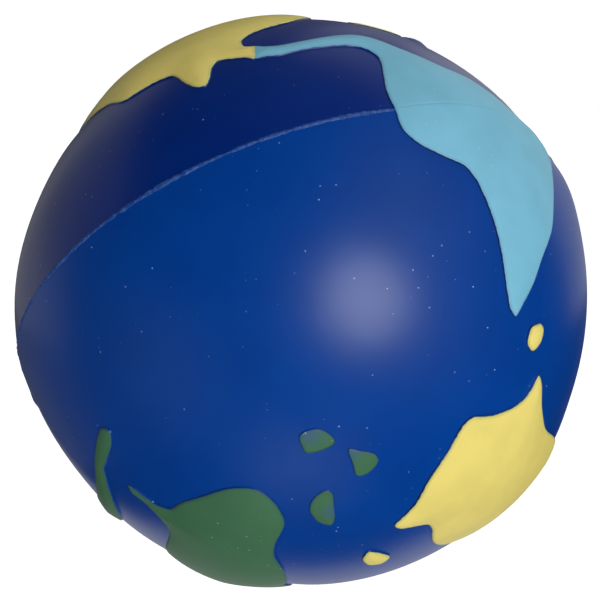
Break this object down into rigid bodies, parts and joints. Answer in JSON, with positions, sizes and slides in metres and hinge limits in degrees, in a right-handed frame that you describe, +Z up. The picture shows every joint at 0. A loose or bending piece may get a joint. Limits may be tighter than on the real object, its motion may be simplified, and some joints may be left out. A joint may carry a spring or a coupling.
{
  "type": "stress ball",
  "caption": "Squeezable foam stress ball moulded as a small globe, with raised painted lands, a moulded skin over a soft core and a parting line.",
  "frame": {"origin": "middle of the ball, which is the centre of the sea's sphere", "axes": "+Z up with the ball lying as it came to rest, -Y towards the side with the great ocean, +X to the right of it. The mould's axis, square to the parting line, leans 49 degrees from +Z towards the heading 116 degrees round from +X; the lands' own axes are turned by -68, -9 and 44 degrees about X, Y and Z."},
  "size_m": [0.069, 0.07, 0.0689],
  "materials": {
    "blue_skin": "satin blue paint on self-skinned polyurethane foam, fine moulded grain",
    "yellow_paint": "satin sprayed paint",
    "light_blue_paint": "satin sprayed paint",
    "green_paint": "satin sprayed paint",
    "cream_foam": "matte open-cell foam"
  },
  "bodies": {
    "lower_half": {"lower_skin": "blue_skin", "foam_core": "cream_foam", "parting_line_flash": "blue_skin", "antarctica": "yellow_paint", "australia": "green_paint", "new_guinea": "green_paint", "new_zealand_north_island": "green_paint", "new_zealand_south_island": "green_paint", "tasmania": "green_paint", "subantarctic_island": "yellow_paint", "falkland_island": "yellow_paint", "madagascar": "green_paint", "sri_lanka": "light_blue_paint", "sumatra": "green_paint", "java": "green_paint", "borneo": "green_paint", "philippines": "green_paint"},
    "upper_half": {"upper_skin": "blue_skin", "north_america": "yellow_paint", "south_america": "light_blue_paint", "cuba": "yellow_paint", "hispaniola": "blue_skin", "japan": "blue_skin", "greenland": "green_paint", "iceland": "green_paint", "great_britain": "yellow_paint", "europe": "yellow_paint", "asia": "light_blue_paint", "africa": "green_paint"}
  },
  "joints": [
    {"name": "squeeze", "type": "slide", "parent": "lower_half", "child": "upper_half", "axis": [0.3308, -0.6783, -0.6561], "range_m": [0, 0.02], "stiffness_N_per_m": 2000, "deforming": ["foam_core", "lower_skin", "upper_skin", "parting_line_flash", "south_america", "japan", "asia", "africa", "europe"]}
  ]
}
